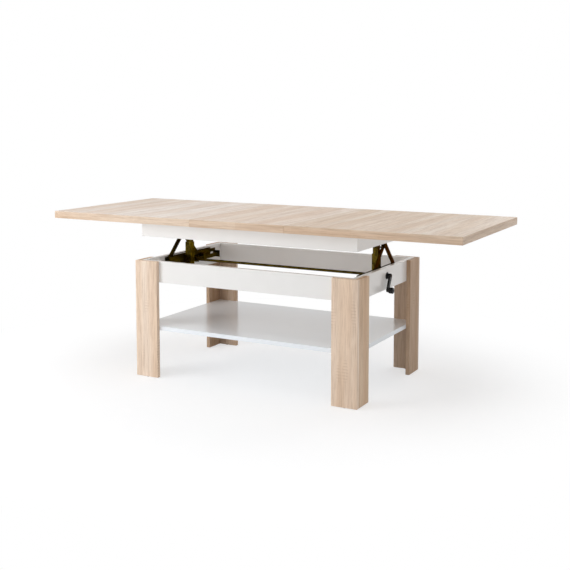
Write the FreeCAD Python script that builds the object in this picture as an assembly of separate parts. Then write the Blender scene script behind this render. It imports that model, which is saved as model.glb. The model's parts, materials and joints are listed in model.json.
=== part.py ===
"""Extending coffee table with a crank-driven lift, as an assembly of separate solids.

Millimetres. The origin is on the floor under the middle of the table, +X points to the
crank end, -Y to the front and +Z up. The rest pose has the top raised and extended.
"""
import FreeCAD, Part
import math
import os

V = FreeCAD.Vector
X_AXIS = V(1, 0, 0)
Y_AXIS = V(0, 1, 0)
Z_AXIS = V(0, 0, 1)

# Table top
TOP_THICK = 28.0
TOP_DEPTH = 660.0
HALF_LEN = 650.0
LEAF_LEN = 400.0
SEAM = 0.6
TOP_EDGE = 0.5

# Leg frame and shelf
FRAME_LEN = 944.0
FRAME_DEPTH = 600.0
LEG_HEIGHT = 456.0
LEG_WIDTH = 100.0
LEG_BOARD = 16.0
LEG_EDGE = 0.5
GLIDE_HEIGHT = 1.5
GLIDE_DIA = 12.0
GLIDE_SHANK = 4.0
GLIDE_SHANK_LEN = 10.0
RAIL_BOARD = 16.0
RAIL_HEIGHT = 82.0
SHELF_BOARD = 16.0
SHELF_UNDERSIDE = 186.0
BOARD_EDGE = 0.5

# Apron that carries the top
APRON_PAST_RAIL_END = 2.0
APRON_SET_BACK = 10.0
APRON_HEIGHT = 56.0
APRON_BOARD = 16.0
SLIDE_GAP = 0.3

# Lift travel and the arms of the lifting mechanism
LIFT = 91.0
CLOSED_GAP = 1.0
ARM_REST_DEG = 45.0
ARM_LOW_RISE = 14.0
ARM_WIDTH = 20.0
ARM_THICK = 4.0
ARM_GAP = 1.0
ARM_OFFSET = 4.0
FOOT_Y = 138.0
FOOT_DROP = 25.0
PIN_DIA = 8.0
PIN_HEAD_DIA = 12.0
PIN_HEAD = 2.0
RIVET_SPREAD = 0.12
RUN_FIT = 0.06
SLOT_PLAY_UP = 3.7
SLOT_PLAY_DOWN = 1.9
LOW_REACH = 2.0

# Base trough on the inside of each end rail
SHEET = 2.5
TROUGH_WIDTH = 26.0
TROUGH_FLOOR_DROP = 21.0
TROUGH_TOP_DROP = 7.0
TROUGH_END = 12.0
TROUGH_SCREW_INSET = 24.0
EAR_REACH = 24.0
EAR_HEIGHT = 27.0
EAR_END_ROOM = 18.0

# Crank drive
SHAFT_DIA = 10.0
SHAFT_DROP = 31.0
SHAFT_TAIL = 18.0
SPINDLE_DIA = 10.0
SPINDLE_INSET = 12.0
SPINDLE_TAIL = 5.0
GEAR_RADIUS = 12.0
GEAR_FACE = 5.0
MITRE_DEG = 45.0
GEAR_HUB_DIA = 16.0
GEAR_HUB_LEN = 6.0
GEAR_TEETH = 16
GEAR_TOOTH_GAP = 1.3
GEAR_TOOTH_DEPTH = 1.6
GEAR_CLEAR = 0.3
BUSH_WALL = 1.5
BUSH_LEN = 5.0
NUT_LEN = 24.0
NUT_DEPTH = 20.0
NUT_HEIGHT = 26.0
NUT_FIT = 0.08

# Crank handle outside the right end rail
CRANK_BUSH_DIA = 16.0
CRANK_FLANGE_DIA = 26.0
CRANK_FLANGE = 2.0
CRANK_HUB_DIA = 18.0
CRANK_HUB_LEN = 15.0
CRANK_HUB_GAP = 0.6
CRANK_ARM_LEN = 55.0
CRANK_ARM_WIDTH = 15.0
CRANK_ARM_THICK = 8.0
CRANK_TILT_DEG = 26.0
KNOB_DIA = 24.0
KNOB_NECK_DIA = 20.0
KNOB_LEN = 18.0
KNOB_ROUND = 4.0
KNOB_GAP = 0.5
KNOB_PIN_DIA = 6.0
KNOB_PIN_HEAD_DIA = 10.0
KNOB_PIN_HEAD = 1.5

# Telescopic guide column beside each mechanism
COLUMN_Y = 29.0
COLUMN_SIZE = 26.0
COLUMN_WALL = 2.0
COLUMN_FIT = 0.5
COLUMN_TOP_ROOM = 6.0
COLUMN_OVERLAP = 30.0
COLLAR_HEIGHT = 6.0

# Lift bracket between apron and arms
BRACKET_GAP = 3.0
BRACKET_RIM = 5.0
BRACKET_TOP_ROOM = 4.0
BRACKET_FLANGE = 40.0

# Sliding runners of the top halves and the tongued guide bars between them
RUNNER_LEN = 540.0
RUNNER_WIDTH = 18.0
RUNNER_HEIGHT = 30.0
RUNNER_START = 2.0
TOP_RELEASE = 30.0
GUIDE_FROM_RAIL = 28.0
GUIDE_WEB = 12.0
GUIDE_HEIGHT = 26.0
GUIDE_TOP_ROOM = 3.0
TONGUE_DEPTH = 6.0
TONGUE_HEIGHT = 8.0

# Fasteners
DOWEL_DIA = 8.0
DOWEL_LEN = 30.0
DOWEL_COVER = 5.0
DOWEL_FIT = 0.1
DOWEL_LOW = 90.0
DOWEL_HIGH = 300.0
DOWEL_SPACING = 40.0
DOWEL_FROM_EDGE = 20.0
SCREW_DIA = 4.0
SCREW_HEAD_DIA = 6.0
SCREW_HEAD = 1.8
SCREW_LEN = 14.0
SCREW_FIT = 0.1
SCREW_HEAD_CLEAR = 0.15
RUNNER_SCREW_DEPTH = 12.0
RUNNER_SCREW_HEAD_DIA = 8.0
RUNNER_SCREW_HEAD = 3.0
RUNNER_SCREWS = 3
BLOCK_SIZE = 30.0
APRON_BLOCK_HEIGHT = 18.0
APRON_BLOCK_LIFT = 2.0

# Levels that follow from the driving sizes
apron_bottom = LEG_HEIGHT + CLOSED_GAP + LIFT
top_underside = apron_bottom + APRON_HEIGHT
apron_top = top_underside - SLIDE_GAP
rail_bottom = LEG_HEIGHT - RAIL_HEIGHT
shelf_top = SHELF_UNDERSIDE + SHELF_BOARD
foot_z = LEG_HEIGHT - FOOT_DROP
shaft_z = LEG_HEIGHT - SHAFT_DROP
trough_floor = foot_z - TROUGH_FLOOR_DROP
trough_top = LEG_HEIGHT - TROUGH_TOP_DROP

# Half sizes of the frame, the rails inside the legs and the apron
frame_x = FRAME_LEN / 2
frame_y = FRAME_DEPTH / 2
leg_in_x = frame_x - LEG_BOARD
leg_in_y = frame_y - LEG_BOARD
rail_in_x = leg_in_x - RAIL_BOARD
rail_in_y = leg_in_y - RAIL_BOARD
apron_x = leg_in_x + APRON_PAST_RAIL_END
apron_y = leg_in_y - APRON_SET_BACK
apron_in_x = apron_x - APRON_BOARD
apron_in_y = apron_y - APRON_BOARD

# Arm geometry at rest and with the top fully down
arm_rest = math.radians(ARM_REST_DEG)
arm_len = (LIFT + ARM_LOW_RISE) / math.sin(arm_rest)
apex_y = FOOT_Y - arm_len * math.cos(arm_rest)
apex_z = foot_z + arm_len * math.sin(arm_rest)
slide_foot_y = apex_y - arm_len * math.cos(arm_rest)
apex_low_y = FOOT_Y - arm_len - LOW_REACH
foot_low_y = FOOT_Y - 2 * arm_len - LOW_REACH

# Layers across the mechanism, from the end rail inwards
trough_in = rail_in_x - TROUGH_WIDTH
arm_x = rail_in_x - ARM_OFFSET - ARM_THICK
arm_low_x = arm_x - ARM_GAP - ARM_THICK
plate_x = arm_low_x - BRACKET_GAP - SHEET
spindle_x = trough_in - SPINDLE_INSET
column_x = trough_in - COLUMN_SIZE / 2
near_ear_y = -(GEAR_RADIUS + GEAR_HUB_LEN)
far_ear_y = foot_low_y - EAR_END_ROOM
trough_front_y = far_ear_y - SHEET
trough_back_y = FOOT_Y + TROUGH_END


def box(x, y, z):
    """Box from three (low, high) pairs."""
    return Part.makeBox(x[1] - x[0], y[1] - y[0], z[1] - z[0], V(x[0], y[0], z[0]))


def rod(dia, start, axis, length):
    """Round bar from a start point along an axis."""
    return Part.makeCylinder(dia / 2, length, V(*start), axis)


def tube(dia, bore, start, axis, length):
    """Round bar with a bore right through."""
    return rod(dia, start, axis, length).cut(rod(bore, start, axis, length))


def cut_all(shape, cutters):
    """Shape with each cutter that reaches it taken away."""
    near = [cutter for cutter in cutters if shape.BoundBox.intersect(cutter.BoundBox)]
    return shape.cut(near) if near else shape


def soften(shape, size):
    """Board with all its edges broken by a small chamfer."""
    return shape.makeChamfer(size, shape.Edges)


def turned(shape):
    """The same piece at the left end, turned half a circle about the table's middle."""
    return shape.rotated(V(0, 0, 0), Z_AXIS, 180)


def span(a, b):
    """Ordered pair, for sizes that are signed by side."""
    return (min(a, b), max(a, b))


def flat_bar(pin_a, pin_b, x_low):
    """Flat bar with round ends between two pin centres (y, z), with a running hole at each."""
    (ya, za), (yb, zb) = pin_a, pin_b
    run = math.hypot(yb - ya, zb - za)
    body = box((x_low, x_low + ARM_THICK), (0, run), (-ARM_WIDTH / 2, ARM_WIDTH / 2))
    for y in (0, run):
        body = body.fuse(rod(ARM_WIDTH, (x_low, y, 0), X_AXIS, ARM_THICK))
    for y in (0, run):
        body = body.cut(rod(PIN_DIA + 2 * RUN_FIT, (x_low, y, 0), X_AXIS, ARM_THICK))
    body = body.removeSplitter()
    body = body.rotated(V(0, 0, 0), X_AXIS, math.degrees(math.atan2(zb - za, yb - ya)))
    return body.translated(V(0, ya, za))


# Places of the fasteners, used for the fasteners and for their holes
CORNERS = [(sx, sy) for sx in (-1, 1) for sy in (-1, 1)]
dowel_x = frame_x - LEG_WIDTH + DOWEL_FROM_EDGE
dowel_y = frame_y - LEG_WIDTH + DOWEL_FROM_EDGE
dowel_in_leg = LEG_BOARD - DOWEL_COVER
dowel_in_rail = RAIL_BOARD - DOWEL_COVER
dowel_in_edge = DOWEL_LEN - dowel_in_leg
shelf_mid_z = SHELF_UNDERSIDE + SHELF_BOARD / 2
rail_dowel_low = rail_bottom + (RAIL_HEIGHT - DOWEL_SPACING) / 2
RAIL_DOWEL_LEVELS = (rail_dowel_low, rail_dowel_low + DOWEL_SPACING)


def dowel_seats():
    """Inner end, direction and depth below the leg's inner face of every dowel at the legs."""
    seats = []
    for sx, sy in CORNERS:
        joints = [(shelf_mid_z, dowel_in_edge)] + [(z, dowel_in_rail) for z in RAIL_DOWEL_LEVELS]
        for z, deep in joints:
            seats.append(((sx * dowel_x, sy * (leg_in_y - deep), z), V(0, sy, 0), deep))
            seats.append(((sx * (leg_in_x - deep), sy * dowel_y, z), V(sx, 0, 0), deep))
        for z in (DOWEL_LOW, DOWEL_HIGH):
            inner_end = (sx * (frame_x - LEG_BOARD / 2), sy * (leg_in_y - dowel_in_edge), z)
            seats.append((inner_end, V(0, sy, 0), dowel_in_edge))
    return seats


DOWEL_HOLES = [
    rod(DOWEL_DIA + 2 * DOWEL_FIT, point, way, deep + dowel_in_leg + DOWEL_FIT)
    for point, way, deep in dowel_seats()
]


def glide_spots(sx, sy):
    """Foot points under the two boards of one leg."""
    mid = LEG_WIDTH / 2
    face = (sx * (frame_x - mid), sy * (frame_y - LEG_BOARD / 2))
    side = (sx * (frame_x - LEG_BOARD / 2), sy * (frame_y - mid))
    return face, side


GLIDE_HOLES = [
    rod(GLIDE_SHANK + 2 * DOWEL_FIT, (x, y, GLIDE_HEIGHT), Z_AXIS, GLIDE_SHANK_LEN + DOWEL_FIT)
    for sx, sy in CORNERS
    for x, y in glide_spots(sx, sy)
]


def legs():
    """Eight boards: each corner leg is an L of a face board and a side board."""
    pieces = {}
    height = (GLIDE_HEIGHT, LEG_HEIGHT)
    for sx, sy in CORNERS:
        place = ("front" if sy < 0 else "back") + ("_left" if sx < 0 else "_right")
        across = span(sx * (frame_x - LEG_WIDTH), sx * frame_x)
        face = soften(box(across, span(sy * leg_in_y, sy * frame_y), height), LEG_EDGE)
        deep = span(sy * (frame_y - LEG_WIDTH), sy * leg_in_y)
        side = soften(box(span(sx * leg_in_x, sx * frame_x), deep, height), LEG_EDGE)
        cutters = DOWEL_HOLES + GLIDE_HOLES
        pieces["leg_face_" + place] = cut_all(face, cutters)
        pieces["leg_side_" + place] = cut_all(side, cutters)
    return pieces


def leg_glides():
    """Nail glides: a pad with a shank in each leg board."""
    pads = []
    for sx, sy in CORNERS:
        for x, y in glide_spots(sx, sy):
            pad = rod(GLIDE_DIA, (x, y, 0), Z_AXIS, GLIDE_HEIGHT)
            pads.append(pad.fuse(rod(GLIDE_SHANK, (x, y, 0), Z_AXIS, GLIDE_HEIGHT + GLIDE_SHANK_LEN)))
    return Part.makeCompound(pads)


def frame_rails():
    """Four white rails that close the frame inside the legs."""
    height = (rail_bottom, LEG_HEIGHT)
    pieces = {}
    for name, sy in (("front", -1), ("back", 1)):
        rail = box((-leg_in_x, leg_in_x), span(sy * rail_in_y, sy * leg_in_y), height)
        pieces["frame_rail_" + name] = cut_all(soften(rail, BOARD_EDGE), DOWEL_HOLES)
    crank_hole = rod(CRANK_BUSH_DIA, (rail_in_x, 0, shaft_z), X_AXIS, RAIL_BOARD)
    for name, sx in (("left", -1), ("right", 1)):
        rail = box(span(sx * rail_in_x, sx * leg_in_x), (-rail_in_y, rail_in_y), height)
        rail = cut_all(soften(rail, BOARD_EDGE), DOWEL_HOLES + trough_screw_holes(sx))
        pieces["frame_rail_" + name] = rail.cut(crank_hole) if sx > 0 else rail
    return pieces


def shelf():
    board = box((-leg_in_x, leg_in_x), (-leg_in_y, leg_in_y), (SHELF_UNDERSIDE, shelf_top))
    return cut_all(soften(board, BOARD_EDGE), DOWEL_HOLES)


def wood_dowels():
    """Dowels of shelf and rails in the legs, and of the two boards of each leg."""
    return Part.makeCompound([
        rod(DOWEL_DIA, point, way, deep + dowel_in_leg)
        for point, way, deep in dowel_seats()
    ])


# Trough screws sit below the arms' path, clear of the shaft
trough_screw_z = trough_floor + SHEET + SCREW_HEAD_DIA / 2 + SCREW_HEAD_CLEAR


def trough_screw_spots():
    """Places along the right trough, two each side of the shaft."""
    front = trough_front_y + TROUGH_SCREW_INSET
    back = trough_back_y - TROUGH_END
    return (front, front / 2, back / 2, back)


def trough_screw_holes(sx):
    holes = []
    for y in trough_screw_spots():
        start = (rail_in_x - SHEET, y, trough_screw_z)
        hole = rod(SCREW_DIA + 2 * SCREW_FIT, start, X_AXIS, SCREW_LEN + SCREW_FIT)
        holes.append(hole if sx > 0 else turned(hole))
    return holes


def trough_screws():
    screws = []
    for y in trough_screw_spots():
        seat = rail_in_x - SHEET
        head = rod(SCREW_HEAD_DIA, (seat - SCREW_HEAD, y, trough_screw_z), X_AXIS, SCREW_HEAD)
        screw = head.fuse(rod(SCREW_DIA, (seat, y, trough_screw_z), X_AXIS, SCREW_LEN))
        screws += [screw, turned(screw)]
    return Part.makeCompound(screws)


def trough():
    """Bent-sheet base: a channel open at the top, with two ears that carry the spindle."""
    length = (trough_front_y, trough_back_y)
    body = box((trough_in, rail_in_x), length, (trough_floor, trough_top))
    inside = (trough_in + SHEET, rail_in_x - SHEET)
    body = body.cut(box(inside, length, (trough_floor + SHEET, trough_top)))
    ear_low = shaft_z - EAR_HEIGHT / 2
    for y in (near_ear_y - SHEET, far_ear_y - SHEET):
        ear = box((trough_in - EAR_REACH, trough_in), (y, y + SHEET), (ear_low, ear_low + EAR_HEIGHT))
        body = body.fuse(ear)
        hole = rod(SPINDLE_DIA + 2 * BUSH_WALL, (spindle_x, y, shaft_z), Y_AXIS, SHEET)
        body = body.cut(hole)
    body = body.cut(rod(SHAFT_DIA + 2 * BUSH_WALL, (trough_in, 0, shaft_z), X_AXIS, TROUGH_WIDTH))
    body = body.cut(rod(PIN_DIA, (trough_in, FOOT_Y, foot_z), X_AXIS, TROUGH_WIDTH))
    slot_height = (foot_z - PIN_DIA / 2 - SLIDE_GAP, foot_z + PIN_DIA / 2 + SLIDE_GAP)
    slot_run = (foot_low_y - PIN_DIA, slide_foot_y + PIN_DIA)
    body = body.cut(box((trough_in, trough_in + SHEET), slot_run, slot_height))
    return cut_all(body, trough_screw_holes(1)).removeSplitter()


def bearing_bushes():
    """Plain bushes of the shaft in the trough walls and of the spindle in the ears."""
    bushes = []
    for x in (trough_in, rail_in_x - SHEET):
        start = (x - (BUSH_LEN - SHEET if x == trough_in else 0), 0, shaft_z)
        length = BUSH_LEN if x == trough_in else SHEET
        bushes.append(tube(SHAFT_DIA + 2 * BUSH_WALL, SHAFT_DIA + 2 * RUN_FIT, start, X_AXIS, length))
    for y in (near_ear_y - SHEET, far_ear_y - SHEET):
        start = (spindle_x, y, shaft_z)
        bushes.append(tube(SPINDLE_DIA + 2 * BUSH_WALL, SPINDLE_DIA + 2 * RUN_FIT, start, Y_AXIS, SHEET))
    return Part.makeCompound(bushes + [turned(bush) for bush in bushes])


def foot_pivot_pins():
    """Fixed pins across the troughs that carry the upper arms."""
    start = (trough_in, FOOT_Y, foot_z)
    pin = rod(PIN_DIA, start, X_AXIS, TROUGH_WIDTH)
    pin = pin.fuse(rod(PIN_HEAD_DIA, (trough_in - PIN_HEAD, FOOT_Y, foot_z), X_AXIS, PIN_HEAD))
    return Part.makeCompound([pin, turned(pin)])


# The bracket's flange sets the top of the inner column, and the lift sets the outer one
bracket_top = top_underside - BRACKET_TOP_ROOM
column_inner_top = bracket_top - SHEET
column_outer_top = column_inner_top - LIFT - COLUMN_TOP_ROOM
column_inner_bottom = column_outer_top - COLUMN_OVERLAP
column_outer_bottom = column_inner_bottom - LIFT
column_inner_size = COLUMN_SIZE - 2 * COLUMN_WALL - 2 * COLUMN_FIT


def square_tube(size, wall, z):
    """Upright square tube on the column's axis."""
    outer = box((column_x - size / 2, column_x + size / 2), (COLUMN_Y - size / 2, COLUMN_Y + size / 2), z)
    bore = size - 2 * wall
    inner = box((column_x - bore / 2, column_x + bore / 2), (COLUMN_Y - bore / 2, COLUMN_Y + bore / 2), z)
    return outer.cut(inner)


def guide_collars():
    """Collars on top of the outer columns that the inner columns slide through."""
    bore_wall = (COLUMN_SIZE - column_inner_size) / 2 - COLUMN_FIT / 2
    collar = square_tube(COLUMN_SIZE, bore_wall, (column_outer_top - COLLAR_HEIGHT, column_outer_top))
    return Part.makeCompound([collar, turned(collar)])


def lift_bracket():
    """Bent sheet on the apron's end rail: slotted plate for the arm pin, top flange, end flange."""
    plate_y = (apex_low_y - PIN_DIA / 2 - BRACKET_RIM, apex_y + PIN_DIA / 2 + SLIDE_GAP + BRACKET_RIM)
    flange_y = (plate_y[0], max(plate_y[1], COLUMN_Y + COLUMN_SIZE / 2))
    slot_low = apex_z - PIN_DIA / 2 - SLOT_PLAY_DOWN
    slot_high = apex_z + PIN_DIA / 2 + SLOT_PLAY_UP
    plate = box((plate_x, plate_x + SHEET), plate_y, (slot_low - BRACKET_RIM, bracket_top))
    slot_y = (plate_y[0] + BRACKET_RIM, plate_y[1] - BRACKET_RIM)
    plate = plate.cut(box((plate_x, plate_x + SHEET), slot_y, (slot_low, slot_high)))
    flange = box((trough_in - COLUMN_SIZE, apron_in_x), flange_y, (bracket_top - SHEET, bracket_top))
    end = box((apron_in_x - SHEET, apron_in_x), flange_y, (bracket_top - BRACKET_FLANGE, bracket_top))
    body = plate.fuse([flange, end])
    return cut_all(body, bracket_screw_holes()).removeSplitter()


def bracket_screw_spots():
    low = apex_low_y
    return [(y, bracket_top - BRACKET_FLANGE / 2) for y in (low, COLUMN_Y)]


def bracket_screw_holes():
    start_x = apron_in_x - SHEET
    return [
        rod(SCREW_DIA + 2 * SCREW_FIT, (start_x, y, z), X_AXIS, SCREW_LEN + SCREW_FIT)
        for y, z in bracket_screw_spots()
    ]


def bracket_screws():
    screws = []
    for y, z in bracket_screw_spots():
        seat = apron_in_x - SHEET
        head = rod(SCREW_HEAD_DIA, (seat - SCREW_HEAD, y, z), X_AXIS, SCREW_HEAD)
        screw = head.fuse(rod(SCREW_DIA, (seat, y, z), X_AXIS, SCREW_LEN))
        screws += [screw, turned(screw)]
    return Part.makeCompound(screws)


def apron_rails():
    """White box of four rails under the top."""
    height = (apron_bottom, apron_top)
    pieces = {}
    for name, sy in (("front", -1), ("back", 1)):
        rail = box((-apron_x, apron_x), span(sy * apron_in_y, sy * apron_y), height)
        pieces["apron_rail_" + name] = soften(rail, BOARD_EDGE)
    for name, sx in (("left", -1), ("right", 1)):
        rail = box(span(sx * apron_in_x, sx * apron_x), (-apron_in_y, apron_in_y), height)
        holes = bracket_screw_holes()
        holes = holes if sx > 0 else [turned(hole) for hole in holes]
        pieces["apron_rail_" + name] = cut_all(soften(rail, BOARD_EDGE), holes)
    return pieces


def apron_corner_blocks():
    """Triangular glue blocks in the four inner corners of the apron."""
    low = apron_bottom + APRON_BLOCK_LIFT
    blocks = []
    for sx, sy in CORNERS:
        points = [
            V(sx * apron_in_x, sy * apron_in_y, low),
            V(sx * (apron_in_x - BLOCK_SIZE), sy * apron_in_y, low),
            V(sx * apron_in_x, sy * (apron_in_y - BLOCK_SIZE), low),
        ]
        face = Part.Face(Part.makePolygon(points + points[:1]))
        blocks.append(face.extrude(V(0, 0, APRON_BLOCK_HEIGHT)))
    return Part.makeCompound(blocks)


# Heights of the guide bar and of its tongue, below the top's underside
guide_top = top_underside - GUIDE_TOP_ROOM
guide_low = guide_top - GUIDE_HEIGHT
tongue_low = guide_low + (GUIDE_HEIGHT - TONGUE_HEIGHT) / 2
runner_low = top_underside - RUNNER_HEIGHT
guide_y = apron_in_y - GUIDE_FROM_RAIL


def guide_bar(sy):
    """Bar between the apron's end rails, with a tongue on each side for the runners."""
    length = (-apron_in_x, apron_in_x)
    half_web = GUIDE_WEB / 2
    web = box(length, span(sy * (guide_y - half_web), sy * (guide_y + half_web)), (guide_low, guide_top))
    reach = half_web + TONGUE_DEPTH
    tongue_z = (tongue_low, tongue_low + TONGUE_HEIGHT)
    tongue = box(length, span(sy * (guide_y - reach), sy * (guide_y + reach)), tongue_z)
    return web.fuse(tongue).removeSplitter()


# The left half's runners slide outside the guide bars, the right half's inside them
RUNNER_TRACKS = {"left": 1, "right": -1}
half_in = LEAF_LEN / 2
half_out = half_in + HALF_LEN
runner_out = apron_in_x - TOP_RELEASE - RUNNER_START
runner_screw_step = (runner_out - half_in) / (RUNNER_SCREWS + 1)


def runner_mid_y(side, sy):
    offset = GUIDE_WEB / 2 + SLIDE_GAP + RUNNER_WIDTH / 2
    return sy * (guide_y + RUNNER_TRACKS[side] * offset)


def runner_screw_spots(side):
    """Places of the screws that hold a half on its runners."""
    sx = -1 if side == "left" else 1
    spots = []
    for sy in (-1, 1):
        for k in range(RUNNER_SCREWS):
            spots.append((sx * (half_in + (k + 1) * runner_screw_step), runner_mid_y(side, sy)))
    return spots


def runner_screw_holes(side):
    """Shank holes into the top and pockets for the heads."""
    holes = []
    for x, y in runner_screw_spots(side):
        shank = RUNNER_HEIGHT + RUNNER_SCREW_DEPTH
        holes.append(rod(SCREW_DIA + 2 * SCREW_FIT, (x, y, runner_low), Z_AXIS, shank))
        pocket = RUNNER_SCREW_HEAD_DIA + 2 * SCREW_FIT
        holes.append(rod(pocket, (x, y, runner_low), Z_AXIS, RUNNER_SCREW_HEAD))
    return holes


def runners(side):
    """Front and back runner of one half, grooved for the guide bars' tongues."""
    sx = -1 if side == "left" else 1
    length = span(sx * runner_out, sx * (runner_out - RUNNER_LEN))
    bars = []
    for sy in (-1, 1):
        mid = runner_mid_y(side, sy)
        bar = box(length, (mid - RUNNER_WIDTH / 2, mid + RUNNER_WIDTH / 2), (runner_low, top_underside))
        reach = GUIDE_WEB / 2 + TONGUE_DEPTH + SLIDE_GAP
        groove_y = span(sy * (guide_y - reach), sy * (guide_y + reach))
        groove_z = (tongue_low - SLIDE_GAP, tongue_low + TONGUE_HEIGHT + SLIDE_GAP)
        bar = bar.cut(box(length, groove_y, groove_z))
        bars.append(cut_all(bar, runner_screw_holes(side)))
    return Part.makeCompound(bars)


def runner_screws(side):
    screws = []
    for x, y in runner_screw_spots(side):
        head = rod(RUNNER_SCREW_HEAD_DIA, (x, y, runner_low), Z_AXIS, RUNNER_SCREW_HEAD)
        shank = RUNNER_HEIGHT + RUNNER_SCREW_DEPTH - SCREW_FIT
        screws.append(head.fuse(rod(SCREW_DIA, (x, y, runner_low), Z_AXIS, shank)))
    return Part.makeCompound(screws)


def top_half(side):
    """One sliding half of the top."""
    sx = -1 if side == "left" else 1
    length = span(sx * half_in, sx * half_out)
    board = box(length, (-TOP_DEPTH / 2, TOP_DEPTH / 2), (top_underside, top_underside + TOP_THICK))
    return cut_all(soften(board, TOP_EDGE), runner_screw_holes(side))


def centre_leaf():
    """Loose leaf between the two halves, resting on their runners."""
    reach = half_in - SEAM
    height = (top_underside, top_underside + TOP_THICK)
    return soften(box((-reach, reach), (-TOP_DEPTH / 2, TOP_DEPTH / 2), height), TOP_EDGE)


# Mitre gears meet where the shaft passes the spindle's axis
gear_large = GEAR_RADIUS - GEAR_CLEAR
gear_small = GEAR_RADIUS - GEAR_FACE - GEAR_CLEAR


def mitre_gear(bore):
    """Mitre gear on +Z with its cone's point at the origin, large end at GEAR_RADIUS."""
    cone = Part.makeCone(gear_small, gear_large, GEAR_FACE, V(0, 0, GEAR_RADIUS - GEAR_FACE))
    hub = rod(GEAR_HUB_DIA, (0, 0, GEAR_RADIUS), Z_AXIS, GEAR_HUB_LEN)
    body = cone.fuse(hub)
    groove_start = GEAR_RADIUS - GEAR_FACE
    groove = Part.makeBox(2 * GEAR_RADIUS, GEAR_TOOTH_GAP, GEAR_TOOTH_DEPTH * 2)
    groove.translate(V(groove_start, -GEAR_TOOTH_GAP / 2, -GEAR_TOOTH_DEPTH))
    groove.rotate(V(0, 0, 0), Y_AXIS, -MITRE_DEG)
    cuts = [groove.rotated(V(0, 0, 0), Z_AXIS, 360 * k / GEAR_TEETH) for k in range(GEAR_TEETH)]
    body = body.cut(cuts)
    if bore:
        body = body.cut(rod(bore, (0, 0, 0), Z_AXIS, GEAR_RADIUS + GEAR_HUB_LEN))
    return body


def drive_shaft():
    """One rod from the crank through both mechanisms."""
    start = -(trough_in + SHAFT_TAIL)
    end = leg_in_x + CRANK_FLANGE + CRANK_HUB_GAP + CRANK_HUB_LEN
    return rod(SHAFT_DIA, (start, 0, shaft_z), X_AXIS, end - start)


def shaft_gears():
    """Gears on the shaft, one at each end, on the table's side of the spindles."""
    gear = mitre_gear(SHAFT_DIA).rotated(V(0, 0, 0), Y_AXIS, -90)
    gear = gear.translated(V(spindle_x, 0, shaft_z))
    return Part.makeCompound([gear, turned(gear)])


def spindle():
    """Lifting spindle with its mitre gear in one piece, from the shaft towards the front."""
    gear = mitre_gear(0).rotated(V(0, 0, 0), X_AXIS, 90)
    start = -(GEAR_RADIUS - GEAR_FACE)
    screw = rod(SPINDLE_DIA, (0, start, 0), V(0, -1, 0), start - far_ear_y + SHEET + SPINDLE_TAIL)
    return gear.fuse(screw).translated(V(spindle_x, 0, shaft_z)).removeSplitter()


def spindle_nut():
    """Nut block on the spindle, with the round stud that carries the lower arm's foot."""
    nut_x = (spindle_x - NUT_DEPTH / 2, spindle_x + NUT_DEPTH / 2)
    nut_y = (slide_foot_y - NUT_LEN / 2, slide_foot_y + NUT_LEN / 2)
    nut_mid = (shaft_z + foot_z) / 2
    block = box(nut_x, nut_y, (nut_mid - NUT_HEIGHT / 2, nut_mid + NUT_HEIGHT / 2))
    block = block.cut(rod(SPINDLE_DIA + 2 * NUT_FIT, (spindle_x, nut_y[0], shaft_z), Y_AXIS, NUT_LEN))
    stud = rod(PIN_DIA, (nut_x[1], slide_foot_y, foot_z), X_AXIS, arm_low_x + ARM_THICK - nut_x[1])
    return block.fuse(stud).removeSplitter()


def upper_arm():
    """Arm from the fixed foot to the apex, with the riveted apex pin that runs in the bracket's slot."""
    arm = flat_bar((FOOT_Y, foot_z), (apex_y, apex_z), arm_x)
    pin_start = plate_x - SLIDE_GAP - PIN_HEAD
    pin = rod(PIN_DIA, (pin_start, apex_y, apex_z), X_AXIS, arm_x + ARM_THICK - pin_start)
    head = rod(PIN_HEAD_DIA, (pin_start, apex_y, apex_z), X_AXIS, PIN_HEAD)
    rivet = rod(PIN_DIA + 2 * RIVET_SPREAD, (arm_x, apex_y, apex_z), X_AXIS, ARM_THICK)
    return arm.fuse([pin, head, rivet]).removeSplitter()


def lower_arm():
    """Arm from the apex pin to the stud of the spindle nut."""
    return flat_bar((apex_y, apex_z), (slide_foot_y, foot_z), arm_low_x)


# Crank pieces lie along the shaft, outside the end rail
hub_x = leg_in_x + CRANK_FLANGE + CRANK_HUB_GAP
crank_arm_x = hub_x + CRANK_HUB_LEN - CRANK_ARM_THICK
tilt = math.radians(CRANK_TILT_DEG)
knob_y = -CRANK_ARM_LEN * math.sin(tilt)
knob_z = shaft_z - CRANK_ARM_LEN * math.cos(tilt)
knob_x = hub_x + CRANK_HUB_LEN + KNOB_GAP


def crank_bush():
    """Flanged bush of the shaft in the right end rail."""
    sleeve = rod(CRANK_BUSH_DIA, (rail_in_x, 0, shaft_z), X_AXIS, RAIL_BOARD)
    flange = rod(CRANK_FLANGE_DIA, (leg_in_x, 0, shaft_z), X_AXIS, CRANK_FLANGE)
    bore = rod(SHAFT_DIA + 2 * RUN_FIT, (rail_in_x, 0, shaft_z), X_AXIS, RAIL_BOARD + CRANK_FLANGE)
    return sleeve.fuse(flange).cut(bore).removeSplitter()


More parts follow.
